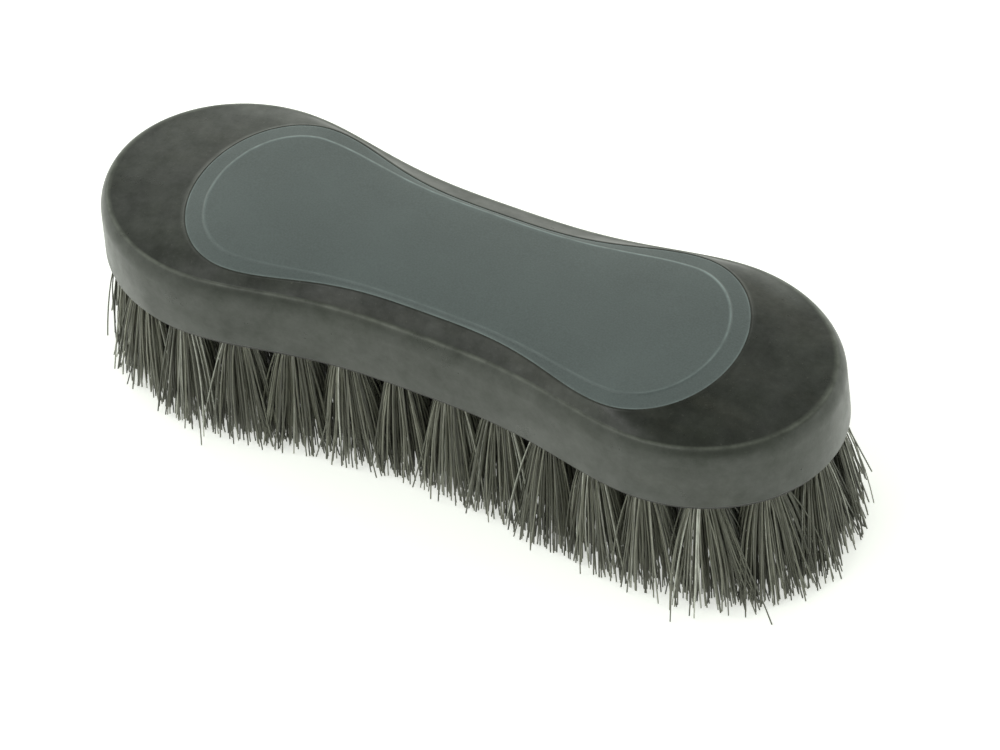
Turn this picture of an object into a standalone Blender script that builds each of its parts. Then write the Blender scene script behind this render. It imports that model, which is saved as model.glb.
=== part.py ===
"""Waisted grooming brush: a drilled core, a soft grip shell over it, an inlaid pad and set bristle tufts.

Metres, +Z up, +X along the block. The brush stands on its bristle tips at z = 0.
"""

import math

import bmesh
import bpy
from mathutils import Vector

MM = 0.001

# Block plan: half ellipses at the ends, joined by a hollow waist.
BLOCK_LENGTH = 175.5 * MM
LOBE_WIDTH = 58.0 * MM
WAIST_WIDTH = 46.0 * MM
END_ROUND = 33.4 * MM
WAIST_SWEEP = 1.5

# Block heights, counted up from the bristle tips.
BRISTLE_LENGTH = 30.0 * MM
RIM_THICKNESS = 0.9 * MM
BLOCK_HEIGHT = 19.0 * MM
SHOULDER_RISE = 2.1 * MM

# Wall section: a drafted wall, a barrelled upper part and a small rounded ridge.
WALL_DRAFT = math.radians(2.0)
BARREL_RADIUS = 6.5 * MM
BARREL_TURN = math.radians(36.0)
BARREL_STEPS = 2
RIDGE_RADIUS = 1.2 * MM
RIDGE_TURN = math.radians(66.0)
RIDGE_STEPS = 2

# Grip shell
SHELL_WALL = 2.2 * MM
DECK_THICKNESS = 3.4 * MM
LIP_WIDTH = 0.5 * MM
RIM_SETBACK = 0.7 * MM
SHOULDER_STEPS = 3
SHOULDER_HOLLOW = 1.35

# Grip pad, set inside the block's plan by bands of black shell.
END_BAND = 23.3 * MM
LOBE_BAND = 6.3 * MM
WAIST_BAND = 7.2 * MM
PAD_END_ROUND = 18.7 * MM
PAD_SWEEP = 1.6
PAD_THICKNESS = 2.5 * MM
PAD_RISE = 0.1 * MM
PAD_CHAMFER = 0.3 * MM
PANEL_END_BORDER = 3.3 * MM
PANEL_LOBE_BORDER = 2.9 * MM
PANEL_WAIST_BORDER = 0.4 * MM
BORDER_RISE = 0.3 * MM
PANEL_RISE = 0.35 * MM
PANEL_SLOPE = 0.6 * MM

# Bristle tufts and the blind holes that they are set in.
HOLE_DIAMETER = 5.6 * MM
HOLE_DEPTH = 10.0 * MM
HOLE_LAND = 0.8 * MM
RING_TUFTS = 30
RING_START = -1.1 * MM
ROW_TUFTS = 12
ROW_END_SPACE = 14.6 * MM
ROW_SHARE = 0.35
TIP_SPACE = 2.0 * MM
SIDE_LEAN = 1.0 * MM
END_LEAN = 3.6 * MM
SET_DEPTH = 8.5 * MM
SET_CLEARANCE = 0.6 * MM

# Anchor plate folded into the root of each tuft.
ANCHOR_CLEARANCE = 0.2 * MM
ANCHOR_THICKNESS = 0.5 * MM
ANCHOR_HEIGHT = 2.2 * MM
ANCHOR_COVER = 0.8 * MM

FIT_GAP = 0.3 * MM
END_STEPS = 11
WAIST_STEPS = 8
ROUND_STEPS = 10

# Worked out from the sizes above.
BLOCK_BASE = BRISTLE_LENGTH
BLOCK_TOP = BLOCK_BASE + BLOCK_HEIGHT
SHELL_BASE = BLOCK_BASE + RIM_THICKNESS + FIT_GAP
RIDGE_CENTRE_Z = BLOCK_TOP - SHOULDER_RISE - RIDGE_RADIUS
BARREL_CENTRE_Z = RIDGE_CENTRE_Z - (BARREL_RADIUS - RIDGE_RADIUS) * math.sin(BARREL_TURN)
DECK_UNDERSIDE = BLOCK_TOP - SHOULDER_RISE - DECK_THICKNESS
PAD_TOP = BLOCK_TOP + PAD_RISE
PAD_UNDERSIDE = PAD_TOP - PAD_THICKNESS
HOLE_INSET = SHELL_WALL + FIT_GAP + HOLE_LAND + HOLE_DIAMETER / 2


def clear_scene():
    for obj in list(bpy.data.objects):
        bpy.data.objects.remove(obj, do_unlink=True)


def make_material(name, colour, roughness):
    material = bpy.data.materials.new(name)
    material.use_nodes = True
    shader = material.node_tree.nodes["Principled BSDF"]
    shader.inputs["Base Color"].default_value = (*colour, 1.0)
    shader.inputs["Roughness"].default_value = roughness
    shader.inputs["Metallic"].default_value = 0.0
    material.diffuse_color = (*colour, 1.0)
    return material


def add_object(name, mesh, parent=None, material=None):
    obj = bpy.data.objects.new(name, mesh)
    bpy.context.scene.collection.objects.link(obj)
    obj.parent = parent
    if material:
        mesh.materials.clear()
        mesh.materials.append(material)
    return obj


# Plan curves: closed lists of 2-D points, anticlockwise, with the same number of points in each.


def waisted_plan(length, lobe_width, waist_width, end_round, sweep):
    """A dog-bone curve: a half ellipse round each end and a cosine waist between the lobes."""
    lobe_x = length / 2 - end_round
    quarter = []
    for step in range(END_STEPS):
        angle = math.pi / 2 * step / END_STEPS
        x = lobe_x + end_round * math.cos(angle)
        quarter.append(Vector((x, lobe_width / 2 * math.sin(angle))))
    for step in range(WAIST_STEPS + 1):
        share = 1 - step / WAIST_STEPS
        swell = (1 - math.cos(math.pi * share**sweep)) / 2
        half = (waist_width + (lobe_width - waist_width) * swell) / 2
        quarter.append(Vector((lobe_x * share, half)))
    left = [Vector((-p.x, p.y)) for p in reversed(quarter[:-1])]
    upper = quarter + left
    lower = [Vector((p.x, -p.y)) for p in reversed(upper[1:-1])]
    return upper + lower


def inset(plan, distance):
    """The plan moved inwards along its normals, or outwards where distance is negative."""
    moved = []
    for index, point in enumerate(plan):
        along = plan[(index + 1) % len(plan)] - plan[index - 1]
        inward = Vector((-along.y, along.x)).normalized()
        moved.append(point + inward * distance)
    return moved


def blend(outer, inner, share):
    return [a.lerp(b, share) for a, b in zip(outer, inner)]


def at_height(plan, z):
    return [Vector((p.x, p.y, z)) for p in plan]


def plan_length(plan):
    return sum((plan[i] - plan[i - 1]).length for i in range(len(plan)))


def along_plan(plan, distance):
    """The point this far round the plan, and the outward direction there."""
    remaining = distance % plan_length(plan)
    for index, start in enumerate(plan):
        step = plan[(index + 1) % len(plan)] - start
        if remaining <= step.length:
            outward = Vector((step.y, -step.x)).normalized()
            return start + step * (remaining / step.length), outward
        remaining -= step.length
    return plan[0], Vector((1, 0))


def half_width_at(plan, x):
    """The plan's half width at this distance along the block."""
    for index, a in enumerate(plan):
        b = plan[(index + 1) % len(plan)]
        if a.y >= 0 and b.y >= 0 and b.x <= x <= a.x and a.x > b.x:
            return a.y + (b.y - a.y) * (a.x - x) / (a.x - b.x)
    return 0.0


def block_plan():
    return waisted_plan(BLOCK_LENGTH, LOBE_WIDTH, WAIST_WIDTH, END_ROUND, WAIST_SWEEP)


def pad_plan():
    return waisted_plan(
        BLOCK_LENGTH - 2 * END_BAND,
        LOBE_WIDTH - 2 * LOBE_BAND,
        WAIST_WIDTH - 2 * WAIST_BAND,
        PAD_END_ROUND,
        PAD_SWEEP,
    )


def panel_plan():
    return waisted_plan(
        BLOCK_LENGTH - 2 * (END_BAND + PANEL_END_BORDER),
        LOBE_WIDTH - 2 * (LOBE_BAND + PANEL_LOBE_BORDER),
        WAIST_WIDTH - 2 * (WAIST_BAND + PANEL_WAIST_BORDER),
        PAD_END_ROUND - PANEL_LOBE_BORDER,
        PAD_SWEEP,
    )


def window_plan():
    return inset(pad_plan(), -FIT_GAP)


# Solids from stacked loops


def bridge(bm, lower, upper):
    count = len(lower)
    for i in range(count):
        j = (i + 1) % count
        bm.faces.new((lower[i], lower[j], upper[j], upper[i]))


def solid_from_loops(name, loops, hollow=False):
    """Skins a stack of loops, and closes it with end caps, or into a ring where it is hollow."""
    bm = bmesh.new()
    rings = [[bm.verts.new(point) for point in loop] for loop in loops]
    for lower, upper in zip(rings, rings[1:]):
        bridge(bm, lower, upper)
    if hollow:
        bridge(bm, rings[-1], rings[0])
    else:
        bm.faces.new(list(reversed(rings[0])))
        bm.faces.new(rings[-1])
    bmesh.ops.recalc_face_normals(bm, faces=bm.faces)
    mesh = bpy.data.meshes.new(name)
    bm.to_mesh(mesh)
    bm.free()
    return mesh


def circle(radius, z, shift=0.0):
    """A loop round the Z axis, its centre moved along +X by the shift."""
    turns = [2 * math.pi * i / ROUND_STEPS for i in range(ROUND_STEPS)]
    return [Vector((shift + radius * math.cos(t), radius * math.sin(t), z)) for t in turns]


def boolean(obj, cutter, operation):
    modifier = obj.modifiers.new(operation.title(), "BOOLEAN")
    modifier.operation = operation
    modifier.solver = "EXACT"
    modifier.object = cutter
    cutter.hide_render = True
    cutter.display_type = "WIRE"


# Grip shell


def wall_section():
    """The wall above its foot, as pairs of depth in from the plan and height."""
    wall_top = BARREL_CENTRE_Z + BARREL_RADIUS * math.sin(WALL_DRAFT)
    depth = (wall_top - SHELL_BASE) * math.tan(WALL_DRAFT)
    section = [(depth, wall_top)]
    arcs = (
        (BARREL_CENTRE_Z, BARREL_RADIUS, WALL_DRAFT, BARREL_TURN, BARREL_STEPS),
        (RIDGE_CENTRE_Z, RIDGE_RADIUS, BARREL_TURN, RIDGE_TURN, RIDGE_STEPS),
    )
    for centre_z, radius, start, end, steps in arcs:
        for step in range(1, steps + 1):
            angle = start + (end - start) * step / steps
            inward = radius * (math.cos(start) - math.cos(angle))
            section.append((depth + inward, centre_z + radius * math.sin(angle)))
        depth = section[-1][0]
    return section


def shoulder_loops(plan, window):
    """The hollow band that climbs from the ridge to the lip round the pad."""
    ridge_depth, ridge_z = wall_section()[-1]
    ridge = inset(plan, ridge_depth)
    lip = inset(window, -LIP_WIDTH)
    loops = []
    for step in range(1, SHOULDER_STEPS + 1):
        share = step / SHOULDER_STEPS
        z = ridge_z + (BLOCK_TOP - ridge_z) * share**SHOULDER_HOLLOW
        loops.append(at_height(blend(ridge, lip, share), z))
    return loops


def make_grip_shell(parent):
    plan = block_plan()
    window = window_plan()
    cavity = inset(plan, SHELL_WALL)
    loops = [at_height(plan, SHELL_BASE)]
    loops += [at_height(inset(plan, depth), z) for depth, z in wall_section()]
    loops += shoulder_loops(plan, window)
    loops += [at_height(window, BLOCK_TOP), at_height(window, DECK_UNDERSIDE)]
    loops += [at_height(cavity, DECK_UNDERSIDE), at_height(cavity, SHELL_BASE)]
    mesh = solid_from_loops("grip_shell", loops, hollow=True)
    return add_object("grip_shell", mesh, parent, make_material("shell rubber", (0.055, 0.056, 0.05), 0.5))


# Grip pad


def make_grip_pad(parent):
    plan = pad_plan()
    panel = panel_plan()
    loops = [
        at_height(plan, PAD_UNDERSIDE),
        at_height(plan, PAD_TOP - PAD_CHAMFER),
        at_height(inset(plan, PAD_CHAMFER), PAD_TOP),
        at_height(panel, PAD_TOP + BORDER_RISE),
        at_height(inset(panel, PANEL_SLOPE), PAD_TOP + BORDER_RISE + PANEL_RISE),
    ]
    mesh = solid_from_loops("grip_pad", loops)
    return add_object("grip_pad", mesh, parent, make_material("pad rubber", (0.1, 0.13, 0.13), 0.55))


# Core


def make_core(parent, seats):
    plan = block_plan()
    rim = inset(plan, RIM_SETBACK)
    body = inset(plan, SHELL_WALL + FIT_GAP)
    raised = inset(window_plan(), FIT_GAP)
    loops = [
        at_height(rim, BLOCK_BASE),
        at_height(rim, BLOCK_BASE + RIM_THICKNESS),
        at_height(body, BLOCK_BASE + RIM_THICKNESS),
        at_height(body, DECK_UNDERSIDE - FIT_GAP),
        at_height(raised, DECK_UNDERSIDE - FIT_GAP),
        at_height(raised, PAD_UNDERSIDE - FIT_GAP),
    ]
    mesh = solid_from_loops("core", loops)
    core = add_object("core", mesh, parent, make_material("core plastic", (0.02, 0.02, 0.018), 0.45))
    boolean(core, make_hole_cutter(seats), "DIFFERENCE")
    return core


def make_hole_cutter(seats):
    """Every tuft hole as one cutter, running from below the core to the holes' blind ends."""
    bm = bmesh.new()
    for place, _ in seats:
        low = circle(HOLE_DIAMETER / 2, BLOCK_BASE - HOLE_LAND)
        high = circle(HOLE_DIAMETER / 2, BLOCK_BASE + HOLE_DEPTH)
        offset = Vector((place.x, place.y, 0))
        lower = [bm.verts.new(point + offset) for point in low]
        upper = [bm.verts.new(point + offset) for point in high]
        bridge(bm, lower, upper)
        bm.faces.new(list(reversed(lower)))
        bm.faces.new(upper)
    bmesh.ops.recalc_face_normals(bm, faces=bm.faces)
    mesh = bpy.data.meshes.new("hole cutter")
    bm.to_mesh(mesh)
    bm.free()
    return add_object("hole_cutter", mesh)


# Tufts


def ring_seats():
    """Seats of the outer ring: each is a place on the underside and the outward direction there."""
    path = inset(block_plan(), HOLE_INSET)
    pitch = plan_length(path) / RING_TUFTS
    return [along_plan(path, RING_START + pitch * index) for index in range(RING_TUFTS)]


def row_seats():
    """Seats of the two inner rows, which follow the block's waist on each side of its middle."""
    path = inset(block_plan(), HOLE_INSET)
    reach = max(point.x for point in path) - ROW_END_SPACE
    seats = []
    for side in (1, -1):
        for index in range(ROW_TUFTS):
            x = reach * (2 * index / (ROW_TUFTS - 1) - 1)
            y = side * ROW_SHARE * half_width_at(path, x)
            seats.append((Vector((x, y)), Vector((0, side))))
    return seats


def tip_radius(seats):
    """As wide as the closest pair of tufts lets each one spread."""
    places = [place for place, _ in seats]
    nearest = min((a - b).length for i, a in enumerate(places) for b in places[:i])
    return (nearest - TIP_SPACE) / 2


def make_tuft_mesh(name, spread, lean):
    """One tuft with its origin at the hole's mouth: the bundle, flaring down to its tips, and its anchor."""
    root = HOLE_DIAMETER / 2 - SET_CLEARANCE
    loops = [
        circle(spread, -BRISTLE_LENGTH, lean),
        circle(root, 0.0),
        circle(root, SET_DEPTH),
    ]
    bundle = add_object("bundle", solid_from_loops(name, loops))
    bpy.ops.mesh.primitive_cube_add(size=1.0)
    anchor = bpy.context.object
    anchor.scale = (ANCHOR_THICKNESS, HOLE_DIAMETER - 2 * ANCHOR_CLEARANCE, ANCHOR_HEIGHT)
    anchor.location.z = SET_DEPTH - ANCHOR_COVER - ANCHOR_HEIGHT / 2
    boolean(bundle, anchor, "UNION")
    bpy.context.view_layer.update()
    graph = bpy.context.evaluated_depsgraph_get()
    mesh = bpy.data.meshes.new_from_object(bundle.evaluated_get(graph))
    mesh.name = name
    bpy.data.objects.remove(anchor, do_unlink=True)
    bpy.data.objects.remove(bundle, do_unlink=True)
    return mesh


def place_tuft(name, mesh, seat, parent, material):
    place, outward = seat
    tuft = add_object(name, mesh, parent, material)
    tuft.location = (place.x, place.y, BLOCK_BASE)
    tuft.rotation_euler.z = math.atan2(outward.y, outward.x)


def make_tufts(parent, ring, rows):
    """The ring's tufts lean out, most of all round the ends. The rows' tufts stand upright and share one mesh."""
    filament = make_material("filament", (0.13, 0.13, 0.105), 0.5)
    spread = tip_radius(ring + rows)
    for number, seat in enumerate(ring, start=1):
        lean = SIDE_LEAN + (END_LEAN - SIDE_LEAN) * abs(seat[1].x)
        name = f"tuft_ring_{number:02d}"
        place_tuft(name, make_tuft_mesh(name, spread, lean), seat, parent, filament)
    row_mesh = make_tuft_mesh("row tuft", spread, 0.0)
    for number, seat in enumerate(rows, start=1):
        place_tuft(f"tuft_row_{number:02d}", row_mesh, seat, parent, filament)


def main():
    clear_scene()
    brush = add_object("brush", None)
    ring = ring_seats()
    rows = row_seats()
    make_core(brush, ring + rows)
    make_grip_shell(brush)
    make_grip_pad(brush)
    make_tufts(brush, ring, rows)


main()
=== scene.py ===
"""The looks of a waisted grooming brush: a soft shell, an inlaid pad, a drilled core and the bristle."""

import math

import bmesh
import bpy
import numpy as np
from mathutils import Matrix, Vector


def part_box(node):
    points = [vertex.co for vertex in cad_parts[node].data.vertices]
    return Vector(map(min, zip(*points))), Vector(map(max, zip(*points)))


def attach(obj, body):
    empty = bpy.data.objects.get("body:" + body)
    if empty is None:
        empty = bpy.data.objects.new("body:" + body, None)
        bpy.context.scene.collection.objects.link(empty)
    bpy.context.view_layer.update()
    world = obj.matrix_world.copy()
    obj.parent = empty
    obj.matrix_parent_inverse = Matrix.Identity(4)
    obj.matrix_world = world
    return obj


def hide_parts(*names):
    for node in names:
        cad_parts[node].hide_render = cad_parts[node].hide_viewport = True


MM = 0.001

# Plan of the block, as in the CAD model.
WAIST_WIDTH = 46.0 * MM
END_ROUND = 33.4 * MM
WAIST_SWEEP = 1.5
END_STEPS = 40
WAIST_STEPS = 30

# Grip shell
SHELL_WALL = 2.2 * MM
FOOT_ROUND = 0.35 * MM
FOOT_STEPS = 4
WALL_DRAFT = math.radians(2)
BARREL_RADIUS = 6.5 * MM
BARREL_TURN = math.radians(36)
BARREL_STEPS = 8
RIDGE_RADIUS = 1.2 * MM
RIDGE_STEPS = 8
# The ridge's light line reaches this far; it is partly wear and partly a painted highlight.
RIDGE_RUB_AND_HIGHLIGHT = 0.45 * MM
SHOULDER_RISE = 2.1 * MM
SHOULDER_START = 0.5
SHOULDER_SETTLE = 0.1
SHOULDER_STEPS = 24
LIP_WIDTH = 0.55 * MM
LIP_ROUND = 0.45 * MM
LIP_STEPS = 5
SEAM_ROUND = 0.03 * MM
SEAM_STEPS = 3
SHELL_DECK = 2.5 * MM
FIT_GAP = 0.3 * MM
SEAM_GAP = 0.005 * MM

# Edges that turn by more than this, in degrees, stay crisp.
SKIN_CREASE = 50
CORE_CREASE = 35
FILAMENT_CREASE = 60

# Grip pad
PAD_WAIST_WIDTH = 31.6 * MM
PAD_END_ROUND = 18.7 * MM
PAD_SWEEP = 1.6
PAD_ROUND = 0.08 * MM
PAD_STEPS = 4
PANEL_END_BORDER = 3.3 * MM
PANEL_LOBE_BORDER = 2.9 * MM
PANEL_WAIST_BORDER = 0.4 * MM
BORDER_RISE = 0.42 * MM
PANEL_RISE = 0.35 * MM
PANEL_SLOPE = 0.6 * MM
PANEL_STEPS = 8
BORDER_SHARES = (0.1, 0.25, 0.6)
# The pad's painted highlight lines: their reach, their strength at the near side, and their strength along
# the rim.
PAD_HIGHLIGHT_REACH = 0.22 * MM
NEAR_SIDE_HIGHLIGHT = 0.2
RIM_HIGHLIGHT = 0.5
PANEL_CROWN = 0.8 * MM
CROWN_TOP = 0.7 * MM
CROWN_RUN = 0.35
CROWN_START = 0.02
CROWN_STEPS = 12

# Core
RIM_SETBACK = 0.7 * MM
RIM_THICKNESS = 0.9 * MM
RIM_CHAMFER = 0.2 * MM
CORE_STEP = 3.6 * MM
HOLE_RADIUS = 2.8 * MM
HOLE_DEPTH = 9.0 * MM
HOLE_CHAMFER = 0.25 * MM
HOLE_SIDES = 24

# Bristle: how it is set. Shares are of a tuft's filaments, and jitters are standard deviations.
SEAT_SLICE = 0.2 * MM
TUFT_SEED = 700
RING_FILAMENTS = 230
ROW_FILAMENTS = 160
FILAMENT_RADIUS = 0.165 * MM
RADIUS_SPREAD = (0.85, 1.1)
FILAMENT_SIDES = 5
FILAMENT_STEPS = 9
ROOT_RADIUS = 2.7 * MM
ROOT_REACH = 5.0 * MM
ROOT_JITTER = 0.05 * MM
GOLDEN_TURN = 2.39996
FIRST_TURN = 6.28
RIM_CROWDING = 0.45
TIP_REACH = (5.0 * MM, 7.0 * MM)
TIP_SPREAD = (0.92, 1.06)
TIP_JITTER = 1.2 * MM
END_FLARE = 0.7
UPRIGHT_LEAN = 0.1 * MM
LEAN_JITTER = 0.8 * MM
BEND_RISE = 1.0 * MM
BEND_JITTER = 0.5 * MM
SPLAY_BEND = 0.72
STRAY_SHARE = 0.06
STRAY_JITTER = 2.4 * MM
TIP_WEAR = 0.8 * MM
EDGE_WEAR = 0.5 * MM
BROKEN_SHARE = 0.07
BROKEN_MM = (1, 6)

# Studio: the sky's brightness on each side, listed by height as the sine of the elevation, and
# softboxes as name, azimuth, elevation, distance, size and power.
FLOOR_REACH = 3.0
FLOOR_GLOW = 0.555
FLOOR_TINT = (0.98, 1.0, 0.955)
SKY_TINT = (0.95, 1.0, 0.915)
SKY_HEIGHTS = (0.0, 0.34, 0.64, 0.87, 1.0)
SKY_SIDES = (
    (math.radians(34), (0.4, 0.15, 0.7, 0.3, 0.3)),
    (math.radians(124), (1.7, 1.9, 0.6, 0.7, 0.3)),
    (math.radians(214), (1.3, 2.1, 0.85, 0.22, 0.32)),
    (math.radians(304), (1.6, 1.5, 1.7, 1.1, 0.3)),
)
LIGHTS = (("left_softbox", math.radians(-25), math.radians(66), 1.1, (0.35, 0.35), 0.75),)

# Camera, a long lens from above the brush's right front.
CAMERA_AZIMUTH = math.radians(33.87)
CAMERA_ELEVATION = math.radians(46.34)
CAMERA_ROLL = math.radians(-6.05)
CAMERA_DISTANCE = 1.174
CAMERA_LENS = 198.2
CAMERA_AIM = Vector((8.69, -3.85, 22.33)) * MM


# Plan curves: closed rings of 2-D points, anticlockwise.


def waisted_plan(length, lobe_width, waist_width, end_round, sweep):
    """A dog-bone curve: a half ellipse round each end and a cosine waist between the lobes."""
    lobe_x = length / 2 - end_round
    angle = np.linspace(0, math.pi / 2, END_STEPS, endpoint=False)
    share = np.linspace(1, 0, WAIST_STEPS + 1)
    swell = (1 - np.cos(math.pi * share**sweep)) / 2
    end = np.c_[lobe_x + end_round * np.cos(angle), lobe_width / 2 * np.sin(angle)]
    side = np.c_[lobe_x * share, (waist_width + (lobe_width - waist_width) * swell) / 2]
    quarter = np.vstack([end, side])
    upper = np.vstack([quarter, quarter[-2::-1] * (-1, 1)])
    return np.vstack([upper, upper[-2:0:-1] * (1, -1)])


def inset(plan, distance):
    """The plan moved inwards along its normals, by one distance or by one for each point."""
    along = np.roll(plan, -1, axis=0) - np.roll(plan, 1, axis=0)
    inward = np.c_[-along[:, 1], along[:, 0]]
    inward /= np.linalg.norm(inward, axis=1, keepdims=True)
    return plan + inward * np.reshape(distance, (-1, 1))


def at_height(plan, z):
    return np.c_[plan, np.broadcast_to(z, len(plan))]


def arc(start, end, steps):
    return np.linspace(start, end, steps + 1)


# Meshes


def add_mesh(name, points, faces, material):
    mesh = bpy.data.meshes.new(name)
    mesh.from_pydata([tuple(p) for p in points], [], faces)
    mesh.validate()
    mesh.materials.append(material)
    mesh.polygons.foreach_set("use_smooth", [True] * len(mesh.polygons))
    obj = bpy.data.objects.new(name, mesh)
    bpy.context.scene.collection.objects.link(obj)
    return obj


def skin(name, rings, material, closed=False):
    """Skins a stack of rings, and closes it with end caps, or into a ring where it is closed."""
    count = len(rings[0])
    stack = len(rings)
    faces = []
    for level in range(stack if closed else stack - 1):
        above = (level + 1) % stack
        for i in range(count):
            j = (i + 1) % count
            faces.append((level * count + i, level * count + j, above * count + j, above * count + i))
    if not closed:
        faces.append(tuple(range(count - 1, -1, -1)))
        faces.append(tuple(range((stack - 1) * count, stack * count)))
    return add_mesh(name, np.vstack(rings), faces, material)


def paint(obj, name, values):
    """Stores one value for each point, which the material reads."""
    attribute = obj.data.attributes.new(name, "FLOAT", "POINT")
    attribute.data.foreach_set("value", np.ravel(values))


def rub_and_highlight_near(rings, rubbed, reach):
    """How strongly each point takes the rub and painted highlight: fully at one ring, fading out over the
    reach.
    """
    points = np.array(rings)
    away = np.linalg.norm(points - points[rubbed], axis=2)
    return np.exp(-((away / reach) ** 2))


def face_outwards(obj):
    bm = bmesh.new()
    bm.from_mesh(obj.data)
    bmesh.ops.recalc_face_normals(bm, faces=bm.faces)
    bm.to_mesh(obj.data)
    bm.free()


def hold_edges(obj, angle):
    """Keeps the edges that turn by more degrees than this crisp, while the rest shades smoothly."""
    bm = bmesh.new()
    bm.from_mesh(obj.data)
    for edge in bm.edges:
        if len(edge.link_faces) == 2 and edge.calc_face_angle(0) > math.radians(angle):
            edge.smooth = False
    bm.to_mesh(obj.data)
    bm.free()


def finish_piece(obj, slot, *nodes):
    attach(obj, "root")
    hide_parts(*nodes)
    return obj


# Materials


class Nodes:
    """A short way to write a Principled material's node tree."""

    def __init__(self, name):
        self.material = bpy.data.materials.new(name)
        self.material.use_nodes = True
        self.tree = self.material.node_tree
        self.shader = self.tree.nodes["Principled BSDF"]
        self.place = self.add("ShaderNodeTexCoord").outputs["Object"]

    def add(self, kind, **settings):
        node = self.tree.nodes.new(kind)
        for key, value in settings.items():
            setattr(node, key, value)
        return node

    def link(self, source, target):
        self.tree.links.new(source, target)

    def noise(self, scale, detail=4.0, roughness=0.5, stretch=None):
        node = self.add("ShaderNodeTexNoise")
        node.inputs["Scale"].default_value = scale
        node.inputs["Detail"].default_value = detail
        node.inputs["Roughness"].default_value = roughness
        source = self.place
        if stretch:
            mapping = self.add("ShaderNodeMapping")
            mapping.inputs["Scale"].default_value = stretch
            self.link(source, mapping.inputs["Vector"])
            source = mapping.outputs["Vector"]
        self.link(source, node.inputs["Vector"])
        return node.outputs["Fac"]

    def ramp(self, value, stops):
        node = self.add("ShaderNodeValToRGB")
        ramp = node.color_ramp
        while len(ramp.elements) < len(stops):
            ramp.elements.new(0.5)
        for element, (position, colour) in zip(ramp.elements, stops):
            element.position = position
            element.color = (*colour, 1.0)
        self.link(value, node.inputs["Fac"])
        return node.outputs["Color"]

    def remap(self, value, low, high, to_low, to_high):
        node = self.add("ShaderNodeMapRange")
        for key, number in zip(("From Min", "From Max", "To Min", "To Max"), (low, high, to_low, to_high)):
            node.inputs[key].default_value = number
        self.link(value, node.inputs["Value"])
        return node.outputs["Result"]

    def mix(self, share, a, b):
        """Colour a, turning into colour b as the share goes from 0 to 1."""
        node = self.add("ShaderNodeMix", data_type="RGBA")
        self.link(share, node.inputs["Factor"])
        for key, value in (("A", a), ("B", b)):
            socket = [s for s in node.inputs if s.name == key and s.type == "RGBA"][0]
            if isinstance(value, tuple):
                socket.default_value = (*value, 1.0)
            else:
                self.link(value, socket)
        return [s for s in node.outputs if s.type == "RGBA"][0]

    def attribute(self, name):
        return self.add("ShaderNodeAttribute", attribute_name=name).outputs["Fac"]

    def scale(self, value, factor):
        """The value times a number or another value."""
        node = self.add("ShaderNodeMath", operation="MULTIPLY")
        self.link(value, node.inputs[0])
        if isinstance(factor, float):
            node.inputs[1].default_value = factor
        else:
            self.link(factor, node.inputs[1])
        return node.outputs["Value"]

    def bump(self, value, distance, strength, normal=None):
        node = self.add("ShaderNodeBump")
        node.inputs["Distance"].default_value = distance
        node.inputs["Strength"].default_value = strength
        self.link(value, node.inputs["Height"])
        if normal:
            self.link(normal, node.inputs["Normal"])
        return node.outputs["Normal"]


def scaled(colour, factor):
    return tuple(channel * factor for channel in colour)


def shell_material():
    """Satin black rubber: a fine moulded grain, cloudy handling marks, scuffs, a dusty bloom, a wall
    painted paler as the floor's light would make it, and a ridge line that is partly wear and partly
    painted highlight.
    """
    nodes = Nodes("shell rubber")
    black = (0.0145, 0.0165, 0.0125)
    dusty, gritty = (0.044, 0.041, 0.031), (0.085, 0.085, 0.072)
    painted_wall_light, wear_and_highlight = (0.045, 0.051, 0.041), (0.105, 0.112, 0.095)
    cloud = nodes.noise(85, 7.0, 0.66)
    colour = nodes.ramp(cloud, [(0.3, scaled(black, 0.45)), (0.5, black), (0.72, scaled(black, 1.7))])
    smear = nodes.noise(60, 5.0, 0.6, stretch=(0.5, 1.6, 2.2))
    bloom = nodes.remap(smear, 0.52, 0.75, 0.0, 0.35)
    colour = nodes.mix(bloom, colour, dusty)
    speck = nodes.noise(1500, 2.0, 0.5)
    dust = nodes.ramp(speck, [(0.66, (0, 0, 0)), (0.8, (0.4, 0.4, 0.4))])
    colour = nodes.mix(dust, colour, gritty)
    # Painted light: the wall is painted paler than the deck, as the floor's light would make it.
    colour = nodes.mix(nodes.scale(nodes.attribute("wall"), 0.6), colour, painted_wall_light)
    # The ridge's light line, partly wear and partly a painted highlight, laid on in patches.
    uneven = nodes.remap(nodes.noise(260, 4.0, 0.6), 0.35, 0.65, 0.4, 1.0)
    colour = nodes.mix(nodes.scale(nodes.attribute("rub_and_highlight"), uneven), colour, wear_and_highlight)
    nodes.link(colour, nodes.shader.inputs["Base Color"])
    sheen = nodes.noise(110, 7.0, 0.68)
    nodes.link(nodes.remap(sheen, 0.3, 0.7, 0.25, 0.43), nodes.shader.inputs["Roughness"])
    handled = nodes.noise(150, 8.0, 0.72)
    nodes.link(nodes.remap(handled, 0.32, 0.68, 0.3, 0.66), nodes.shader.inputs["Specular IOR Level"])
    grain = nodes.bump(nodes.noise(1900, 3.0, 0.6), 0.00003, 0.35)
    nodes.link(nodes.bump(nodes.noise(170, 5.0, 0.55), 0.0002, 0.3, grain), nodes.shader.inputs["Normal"])
    return nodes.material


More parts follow.
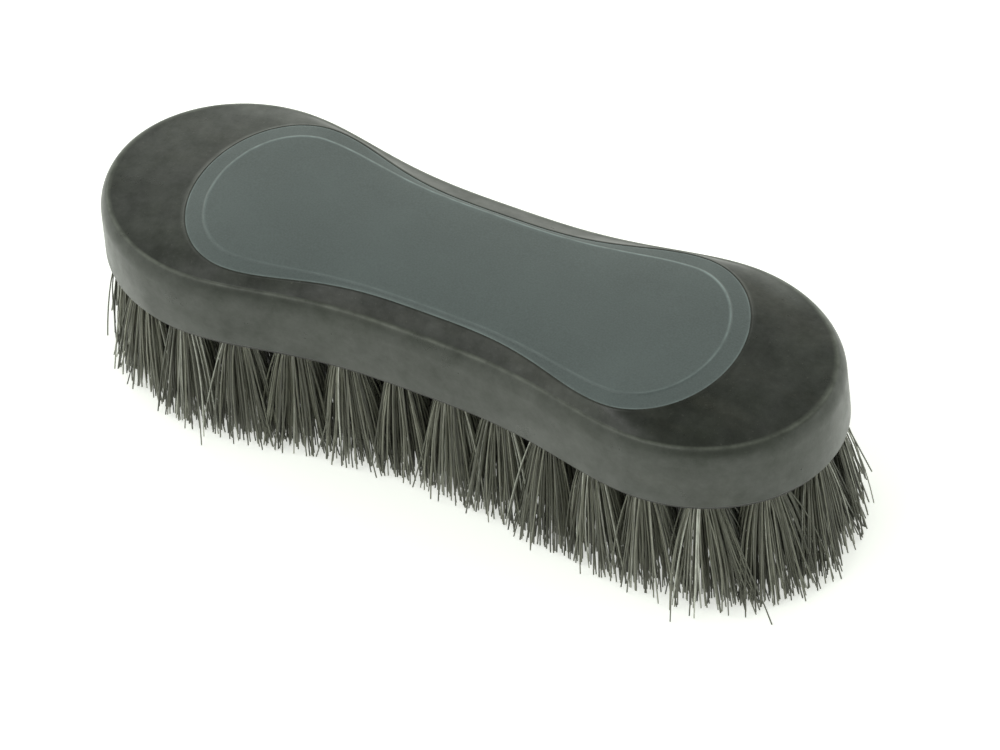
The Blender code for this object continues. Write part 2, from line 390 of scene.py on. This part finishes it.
def pad_material():
    """Matt blue-grey rubber with a fine spark-eroded grain, and painted highlights along the rim and the
    panel's edge.
    """
    nodes = Nodes("pad rubber")
    grey = (0.0705, 0.0866, 0.088)
    cloud = nodes.noise(38, 5.0, 0.55)
    colour = nodes.ramp(cloud, [(0.3, scaled(grey, 0.88)), (0.7, scaled(grey, 1.14))])
    fine = nodes.noise(2600, 2.0, 0.5)
    colour = nodes.mix(nodes.remap(fine, 0.3, 0.7, 0.0, 0.3), colour, scaled(grey, 1.9))
    # Painted highlight: light lines along the pad's rim and its panel's edge, laid on in patches.
    uneven = nodes.remap(nodes.noise(200, 4.0, 0.6), 0.35, 0.65, 0.3, 0.85)
    colour = nodes.mix(nodes.scale(nodes.attribute("rub_and_highlight"), uneven), colour, scaled(grey, 4.0))
    nodes.link(colour, nodes.shader.inputs["Base Color"])
    sheen = nodes.noise(120, 5.0, 0.6)
    nodes.link(nodes.remap(sheen, 0.3, 0.7, 0.42, 0.54), nodes.shader.inputs["Roughness"])
    nodes.link(nodes.bump(nodes.noise(2100, 3.0, 0.6), 0.00005, 0.5), nodes.shader.inputs["Normal"])
    return nodes.material


def core_material():
    """Hard black plastic, plain but for faint flow marks."""
    nodes = Nodes("core plastic")
    black = (0.014, 0.014, 0.012)
    colour = nodes.ramp(nodes.noise(80, 4.0), [(0.3, scaled(black, 0.8)), (0.7, scaled(black, 1.4))])
    nodes.link(colour, nodes.shader.inputs["Base Color"])
    nodes.link(nodes.remap(nodes.noise(200, 4.0), 0.3, 0.7, 0.32, 0.45), nodes.shader.inputs["Roughness"])
    nodes.link(nodes.bump(nodes.noise(900, 3.0), 0.00003, 0.3), nodes.shader.inputs["Normal"])
    return nodes.material


def filament_material():
    """Grey drawn filament, each one its own shade, with faint streaks down its length; the palest few are
    painted highlights.
    """
    nodes = Nodes("filament")
    shades_and_highlight = [
        (0.0, (0.055, 0.056, 0.04)),
        (0.5, (0.145, 0.147, 0.112)),
        (0.9, (0.25, 0.252, 0.2)),
        # Painted highlight: the palest stop paints a few filaments, at random, near white as if they caught
        # the light.
        (1.0, (0.55, 0.56, 0.5)),
    ]
    streak_dark = (0.03, 0.03, 0.022)
    colour = nodes.ramp(nodes.attribute("tint"), shades_and_highlight)
    streak = nodes.noise(2500, 3.0, 0.6, stretch=(1, 1, 0.06))
    colour = nodes.mix(nodes.remap(streak, 0.35, 0.65, 0.0, 0.4), colour, streak_dark)
    nodes.link(colour, nodes.shader.inputs["Base Color"])
    nodes.link(nodes.remap(streak, 0.3, 0.7, 0.34, 0.5), nodes.shader.inputs["Roughness"])
    nodes.link(nodes.bump(streak, 0.00002, 0.4), nodes.shader.inputs["Normal"])
    return nodes.material


# Block


def block_plan():
    low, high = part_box("grip_shell")
    return waisted_plan(high.x - low.x, high.y - low.y, WAIST_WIDTH, END_ROUND, WAIST_SWEEP)


def pad_plan():
    low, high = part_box("grip_pad")
    return waisted_plan(high.x - low.x, high.y - low.y, PAD_WAIST_WIDTH, PAD_END_ROUND, PAD_SWEEP)


def panel_plan():
    low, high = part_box("grip_pad")
    return waisted_plan(
        high.x - low.x - 2 * PANEL_END_BORDER,
        high.y - low.y - 2 * PANEL_LOBE_BORDER,
        PAD_WAIST_WIDTH - 2 * PANEL_WAIST_BORDER,
        PAD_END_ROUND - PANEL_LOBE_BORDER,
        PAD_SWEEP,
    )


def shell_rings():
    """The shell's section, from its foot up the wall, over the ridge and the shoulder, to the lip."""
    low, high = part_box("grip_shell")
    plan = block_plan()
    lip = inset(pad_plan(), -FIT_GAP - LIP_WIDTH)
    rings = []
    for angle in arc(-math.pi / 2, 0, FOOT_STEPS):
        depth = FOOT_ROUND * (1 - math.cos(angle))
        rings.append(at_height(inset(plan, depth), low.z + FOOT_ROUND * (1 + math.sin(angle))))
    ridge_z = high.z - SHOULDER_RISE - RIDGE_RADIUS
    barrel_z = ridge_z - (BARREL_RADIUS - RIDGE_RADIUS) * math.sin(BARREL_TURN)
    wall_top = barrel_z + BARREL_RADIUS * math.sin(WALL_DRAFT)
    wall_depth = (wall_top - low.z) * math.tan(WALL_DRAFT)
    for angle in arc(WALL_DRAFT, BARREL_TURN, BARREL_STEPS):
        depth = wall_depth + BARREL_RADIUS * (math.cos(WALL_DRAFT) - math.cos(angle))
        rings.append(at_height(inset(plan, depth), barrel_z + BARREL_RADIUS * math.sin(angle)))
    band = np.linalg.norm(lip - plan, axis=1) - depth - RIDGE_RADIUS / 2
    turn = math.pi / 2 - SHOULDER_START * np.arctan(SHOULDER_RISE / band)
    for share in arc(0, 1, RIDGE_STEPS)[1:]:
        angle = BARREL_TURN + (turn - BARREL_TURN) * share
        inward = depth + RIDGE_RADIUS * (math.cos(BARREL_TURN) - np.cos(angle))
        rings.append(at_height(inset(plan, inward), ridge_z + RIDGE_RADIUS * np.sin(angle)))
    return rings + shoulder_rings(rings[-1], lip, high.z)


def shoulder_climb(share):
    """A straight climb, except that it starts gently at the foot."""
    return share - (1 - SHOULDER_START) * SHOULDER_SETTLE * (1 - math.exp(-share / SHOULDER_SETTLE))


def shoulder_rings(crest, lip, top):
    """The shoulder from the ridge to the lip, then the lip's rounded top and its edge at the seam."""
    start = crest[:, :2]
    start_z = crest[:, 2]
    lip_drop = LIP_ROUND / 3
    seam = inset(pad_plan(), -FIT_GAP)
    rings = []
    for share in arc(0, 1, SHOULDER_STEPS)[1:]:
        z = start_z + (top - lip_drop - start_z) * shoulder_climb(share) / shoulder_climb(1)
        rings.append(at_height(start + (lip - start) * share, z))
    for share in arc(0, 1, LIP_STEPS)[1:]:
        rings.append(at_height(inset(lip, LIP_ROUND * share), top - lip_drop * (1 - share) ** 2))
    for angle in arc(math.pi / 2, 0, SEAM_STEPS):
        depth = -SEAM_ROUND * (1 - math.cos(angle))
        rings.append(at_height(inset(seam, depth), top - SEAM_ROUND * (1 - math.sin(angle))))
    return rings


def make_shell():
    """The moulded grip: its outer skin, the window the pad sits in and the cavity the core fills."""
    low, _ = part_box("grip_shell")
    pad_low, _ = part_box("grip_pad")
    rings = shell_rings()
    window = inset(pad_plan(), -FIT_GAP)
    cavity = inset(block_plan(), SHELL_WALL)
    underside = pad_low.z - 2 * FIT_GAP - SHELL_DECK
    rings += [at_height(window, pad_low.z), at_height(window, underside)]
    rings += [at_height(cavity, underside), at_height(cavity, low.z)]
    shell = skin("shell_skin", rings, shell_material(), closed=True)
    ridge = FOOT_STEPS + BARREL_STEPS + 1 + RIDGE_STEPS * 3 // 4
    # The ridge is painted lighter, partly as wear and partly as a painted highlight.
    paint(shell, "rub_and_highlight", rub_and_highlight_near(rings, ridge, RIDGE_RUB_AND_HIGHLIGHT))
    # Painted light: the wall's share of the paler colour, full low on the wall and fading out below the
    # ridge.
    painted_wall_share = np.clip((ridge - 1 - np.arange(len(rings))) / RIDGE_STEPS, 0, 1)
    paint(shell, "wall", np.repeat(painted_wall_share, len(rings[0])))
    face_outwards(shell)
    hold_edges(shell, SKIN_CREASE)
    return finish_piece(shell, "shell_rubber", "grip_shell")


def pad_rings():
    """The pad's section, from its foot over the rounded rim and the border to the panel's crown."""
    low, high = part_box("grip_pad")
    plan = inset(pad_plan(), SEAM_GAP - FIT_GAP)
    panel = panel_plan()
    foot_z = high.z - PANEL_RISE
    border_z = foot_z - BORDER_RISE
    edge_z = high.z + CROWN_TOP - PANEL_CROWN
    rings = [at_height(plan, low.z)]
    for angle in arc(0, math.pi / 2, PAD_STEPS):
        depth = PAD_ROUND * (1 - math.cos(angle))
        rings.append(at_height(inset(plan, depth), border_z - PAD_ROUND * (1 - math.sin(angle))))
    rim = rings[-1][:, :2]
    for share in BORDER_SHARES:
        z = border_z + (foot_z - border_z) * share
        rings.append(at_height(rim + (panel - rim) * share, z))
    for share in arc(0, 1, PANEL_STEPS):
        rise = (edge_z - foot_z) * (1 - math.cos(math.pi * share)) / 2
        rings.append(at_height(inset(panel, PANEL_SLOPE * share), foot_z + rise))
    edge = rings[-1][:, :2]
    for share in (CROWN_START, *arc(0, 1, CROWN_STEPS)[1:-1]):
        narrowed = edge * (1 - CROWN_RUN * share, 1 - share)
        rings.append(at_height(narrowed, edge_z + PANEL_CROWN * (1 - (1 - share) ** 2)))
    return rings


def make_pad():
    """The inlaid pad, with painted highlights along its rim and, mostly at the far side, along its panel's
    edge.
    """
    rings = pad_rings()
    pad = skin("pad_skin", rings, pad_material())
    across = panel_plan()[:, 1]
    # Painted highlight: the panel's light line is five times as strong at the far side as at the near side,
    # as the light falls.
    far_side_highlight = NEAR_SIDE_HIGHLIGHT + (1 - NEAR_SIDE_HIGHLIGHT) * (1 + across / across.max()) / 2
    panel_highlight = rub_and_highlight_near(rings, PAD_STEPS + len(BORDER_SHARES) + PANEL_STEPS + 2, PAD_HIGHLIGHT_REACH) * far_side_highlight
    paint(pad, "rub_and_highlight", panel_highlight + RIM_HIGHLIGHT * rub_and_highlight_near(rings, PAD_STEPS + 1, PAD_HIGHLIGHT_REACH))
    face_outwards(pad)
    hold_edges(pad, SKIN_CREASE)
    return finish_piece(pad, "pad_rubber", "grip_pad")


# Tufts


def seat_of(node):
    """Where a tuft's CAD solid sits and where its tips spread: the centres of its top and its bottom."""
    points = np.array([v.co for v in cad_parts[node].data.vertices])
    top = points[points[:, 2] > points[:, 2].max() - SEAT_SLICE]
    tips = points[points[:, 2] < SEAT_SLICE]
    return top.mean(axis=0)[:2], tips.mean(axis=0)[:2]


def tuft_seats():
    return {name: seat_of(name) for name in sorted(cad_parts) if name.startswith("tuft_")}


def hole_cutter(seats, base):
    """One object with a chamfered peg for each tuft's hole."""
    bm = bmesh.new()
    heights = (base - 1 * MM, base, base + HOLE_CHAMFER, base + HOLE_DEPTH)
    radii = (HOLE_RADIUS + HOLE_CHAMFER, HOLE_RADIUS + HOLE_CHAMFER, HOLE_RADIUS, HOLE_RADIUS)
    turns = np.linspace(0, 2 * math.pi, HOLE_SIDES, endpoint=False)
    for seat, _ in seats.values():
        rings = []
        for z, radius in zip(heights, radii):
            ring = [(seat[0] + radius * math.cos(t), seat[1] + radius * math.sin(t), z) for t in turns]
            rings.append([bm.verts.new(point) for point in ring])
        for lower, upper in zip(rings, rings[1:]):
            for i in range(HOLE_SIDES):
                j = (i + 1) % HOLE_SIDES
                bm.faces.new((lower[i], lower[j], upper[j], upper[i]))
        bm.faces.new(list(reversed(rings[0])))
        bm.faces.new(rings[-1])
    mesh = bpy.data.meshes.new("hole cutter")
    bm.to_mesh(mesh)
    bm.free()
    return bpy.data.objects.new("hole_cutter", mesh)


def core_skin():
    """The undrilled core: a thin rim, the body in the shell's cavity and the step under the pad."""
    low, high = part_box("core")
    pad_low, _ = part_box("grip_pad")
    plan = block_plan()
    rim = inset(plan, RIM_SETBACK)
    body = inset(plan, SHELL_WALL + FIT_GAP)
    rings = [
        at_height(inset(rim, RIM_CHAMFER), low.z),
        at_height(rim, low.z + RIM_CHAMFER),
        at_height(rim, low.z + RIM_THICKNESS),
        at_height(body, low.z + RIM_THICKNESS),
        at_height(body, pad_low.z - CORE_STEP),
        at_height(pad_plan(), pad_low.z - CORE_STEP),
        at_height(pad_plan(), high.z),
    ]
    core = skin("core_skin", rings, core_material())
    face_outwards(core)
    return core


def make_core(seats):
    core = core_skin()
    cutter = hole_cutter(seats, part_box("core")[0].z)
    bpy.context.scene.collection.objects.link(cutter)
    drill = core.modifiers.new("Holes", "BOOLEAN")
    drill.operation = "DIFFERENCE"
    drill.solver = "EXACT"
    drill.object = cutter
    bpy.context.view_layer.update()
    graph = bpy.context.evaluated_depsgraph_get()
    drilled = bpy.data.meshes.new_from_object(core.evaluated_get(graph))
    core.modifiers.clear()
    core.data = drilled
    bpy.data.objects.remove(cutter, do_unlink=True)
    hold_edges(core, CORE_CREASE)
    return finish_piece(core, "core_plastic", "core")


def tip_places(away, lean):
    """Spreads a disc of filaments into a block of tips, longest across the tuft's lean."""
    flare = END_FLARE * np.linalg.norm(lean)
    outward = lean / np.linalg.norm(lean) if flare > UPRIGHT_LEAN else np.array([0.0, 1.0])
    across = np.array([-outward[1], outward[0]])
    local = np.c_[away @ outward, away @ across]
    square = local * np.linalg.norm(local, axis=1, keepdims=True) / np.abs(local).max(axis=1, keepdims=True)
    square *= np.array(TIP_REACH) + (0, flare)
    return square[:, :1] * outward + square[:, 1:] * across


def filament_lines(rng, count, seat, lean, base):
    """Centre lines for one tuft, as an array of filament, step and place."""
    index = np.arange(count)
    reach = ((index + 0.5) / count) ** RIM_CROWDING
    turn = index * GOLDEN_TURN + rng.uniform(0, FIRST_TURN)
    away = np.c_[np.cos(turn), np.sin(turn)] * reach[:, None]
    root = away * (ROOT_RADIUS - FILAMENT_RADIUS) + rng.normal(0, ROOT_JITTER, away.shape)
    splay = tip_places(away, lean) * rng.uniform(*TIP_SPREAD) + rng.normal(0, TIP_JITTER, away.shape)
    stray = rng.random(count) < STRAY_SHARE
    splay[stray] += rng.normal(0, STRAY_JITTER, (stray.sum(), 2))
    short = np.abs(rng.normal(0, TIP_WEAR, count)) + EDGE_WEAR * reach**2
    short += np.where(rng.random(count) < BROKEN_SHARE, rng.uniform(*BROKEN_MM, count) * MM, 0)
    bow = rng.normal(0, BEND_JITTER, root.shape)
    lean = lean + rng.normal(0, LEAN_JITTER, 2)
    top = base + ROOT_REACH
    z = top + (short[:, None] - top) * np.linspace(0, 1, FILAMENT_STEPS)[None, :]
    below = np.clip((base + BEND_RISE - z) / base, 0, 1)[..., None]
    path = seat + root[:, None] + lean * below + (splay - root)[:, None] * below**SPLAY_BEND
    path += bow[:, None] * np.sin(math.pi * below)
    return np.dstack([path, z])


def tube_mesh(name, lines, radii, tints, material):
    """Thin closed tubes along the lines, with each one's shade kept as the attribute tint."""
    count, steps, _ = lines.shape
    turns = np.linspace(0, 2 * math.pi, FILAMENT_SIDES, endpoint=False)
    around = np.c_[np.cos(turns), np.sin(turns), np.zeros(FILAMENT_SIDES)]
    points = lines[:, :, None, :] + around[None, None] * radii[:, None, None, None]
    faces = []
    for tube in range(count):
        first = tube * steps * FILAMENT_SIDES
        for step in range(steps - 1):
            ring = first + step * FILAMENT_SIDES
            for i in range(FILAMENT_SIDES):
                j = (i + 1) % FILAMENT_SIDES
                faces.append((ring + j, ring + i, ring + FILAMENT_SIDES + i, ring + FILAMENT_SIDES + j))
        last = first + (steps - 1) * FILAMENT_SIDES
        faces.append(tuple(range(first, first + FILAMENT_SIDES)))
        faces.append(tuple(range(last + FILAMENT_SIDES - 1, last - 1, -1)))
    obj = add_mesh(name, points.reshape(-1, 3), faces, material)
    paint(obj, "tint", np.repeat(tints, steps * FILAMENT_SIDES))
    return obj


def make_tufts(seats):
    material = filament_material()
    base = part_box("core")[0].z
    for number, (node, (seat, tips)) in enumerate(seats.items()):
        rng = np.random.default_rng(TUFT_SEED + number)
        count = RING_FILAMENTS if "ring" in node else ROW_FILAMENTS
        lines = filament_lines(rng, count, seat, tips - seat, base)
        radii = FILAMENT_RADIUS * rng.uniform(*RADIUS_SPREAD, count)
        tuft = tube_mesh(node.replace("tuft", "bristle"), lines, radii, rng.random(count), material)
        hold_edges(tuft, FILAMENT_CREASE)
        finish_piece(tuft, "filament", node)


# Stage


def make_floor():
    """White paper, lit through a little from below, so that it stays white round the brush."""
    nodes = Nodes("floor")
    pale = nodes.ramp(nodes.noise(6, 2.0), [(0.0, (0.86, 0.86, 0.85)), (1.0, (0.88, 0.88, 0.87))])
    nodes.link(pale, nodes.shader.inputs["Base Color"])
    nodes.shader.inputs["Roughness"].default_value = 0.9
    nodes.shader.inputs["Specular IOR Level"].default_value = 0.0
    nodes.shader.inputs["Emission Color"].default_value = (*FLOOR_TINT, 1.0)
    nodes.shader.inputs["Emission Strength"].default_value = FLOOR_GLOW
    corners = [(x * FLOOR_REACH, y * FLOOR_REACH, 0) for x, y in ((-1, -1), (1, -1), (1, 1), (-1, 1))]
    floor = add_mesh("floor", corners, [(0, 1, 2, 3)], nodes.material)


def direction(azimuth, elevation):
    """The unit vector from the brush towards a place seen at this azimuth and elevation."""
    level = math.cos(elevation)
    return Vector((math.sin(azimuth) * level, -math.cos(azimuth) * level, math.sin(elevation)))


def add_softbox(name, azimuth, elevation, distance, size, power):
    light = bpy.data.lights.new(name, "AREA")
    light.shape = "RECTANGLE"
    light.size, light.size_y = size
    light.energy = power
    obj = bpy.data.objects.new(name, light)
    back = direction(azimuth, elevation)
    obj.location = back * distance
    obj.rotation_euler = (-back).to_track_quat("-Z", "Y").to_euler()
    bpy.context.scene.collection.objects.link(obj)


def sky_side(tree, heading, height, levels):
    """One side of the sky: its brightness by height, and how much of this side a direction sees."""
    ramp = tree.nodes.new("ShaderNodeValToRGB")
    stops = ramp.color_ramp.elements
    while len(stops) < len(SKY_HEIGHTS):
        stops.new(0.5)
    for stop, place, level in zip(stops, SKY_HEIGHTS, levels):
        stop.position = place
        stop.color = (*scaled(SKY_TINT, level), 1.0)
    tree.links.new(height, ramp.inputs["Fac"])
    facing = tree.nodes.new("ShaderNodeVectorMath")
    facing.operation = "DOT_PRODUCT"
    facing.inputs[1].default_value = heading
    share = tree.nodes.new("ShaderNodeMath")
    share.operation = "MAXIMUM"
    share.inputs[1].default_value = 0.0
    tree.links.new(facing.outputs["Value"], share.inputs[0])
    square = tree.nodes.new("ShaderNodeMath")
    square.operation = "POWER"
    square.inputs[1].default_value = 2.0
    tree.links.new(share.outputs["Value"], square.inputs[0])
    product = tree.nodes.new("ShaderNodeVectorMath")
    product.operation = "SCALE"
    tree.links.new(ramp.outputs["Color"], product.inputs["Vector"])
    tree.links.new(square.outputs["Value"], product.inputs["Scale"])
    return facing, product.outputs["Vector"]


def sky_material(world):
    """A soft sky whose four sides are each lit by height, and blend into one another."""
    world.use_nodes = True
    tree = world.node_tree
    place = tree.nodes.new("ShaderNodeTexCoord")
    split = tree.nodes.new("ShaderNodeSeparateXYZ")
    flat = tree.nodes.new("ShaderNodeCombineXYZ")
    level = tree.nodes.new("ShaderNodeVectorMath")
    level.operation = "NORMALIZE"
    tree.links.new(place.outputs["Generated"], split.inputs["Vector"])
    tree.links.new(split.outputs["X"], flat.inputs["X"])
    tree.links.new(split.outputs["Y"], flat.inputs["Y"])
    tree.links.new(flat.outputs["Vector"], level.inputs[0])
    total = None
    for azimuth, levels in SKY_SIDES:
        heading = (math.sin(azimuth), -math.cos(azimuth), 0)
        facing, side = sky_side(tree, heading, split.outputs["Z"], levels)
        tree.links.new(level.outputs["Vector"], facing.inputs[0])
        if total:
            both = tree.nodes.new("ShaderNodeVectorMath")
            tree.links.new(total, both.inputs[0])
            tree.links.new(side, both.inputs[1])
            side = both.outputs["Vector"]
        total = side
    tree.links.new(total, tree.nodes["Background"].inputs["Color"])
    tree.nodes["Background"].inputs["Strength"].default_value = 1.0


def light_scene():
    world = bpy.data.worlds.new("studio")
    sky_material(world)
    bpy.context.scene.world = world
    for light in LIGHTS:
        add_softbox(*light)
    bpy.context.scene.view_settings.view_transform = "Standard"


def add_camera():
    back = direction(CAMERA_AZIMUTH, CAMERA_ELEVATION)
    data = bpy.data.cameras.new("camera")
    data.lens = CAMERA_LENS
    data.clip_start = 0.05
    camera = bpy.data.objects.new("camera", data)
    bpy.context.scene.collection.objects.link(camera)
    turn = (-back).to_track_quat("-Z", "Y").to_matrix() @ Matrix.Rotation(CAMERA_ROLL, 3, "Z")
    camera.location = CAMERA_AIM + back * CAMERA_DISTANCE
    camera.rotation_euler = turn.to_euler()
    bpy.context.scene.camera = camera


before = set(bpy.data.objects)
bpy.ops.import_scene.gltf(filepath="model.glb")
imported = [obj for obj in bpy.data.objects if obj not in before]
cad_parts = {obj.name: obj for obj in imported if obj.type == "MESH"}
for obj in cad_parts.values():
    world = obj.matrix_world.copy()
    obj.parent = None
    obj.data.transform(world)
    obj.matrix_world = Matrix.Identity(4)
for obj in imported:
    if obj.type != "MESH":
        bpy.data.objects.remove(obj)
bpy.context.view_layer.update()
seats = tuft_seats()
make_shell()
make_pad()
make_core(seats)
make_tufts(seats)
make_floor()
light_scene()
add_camera()
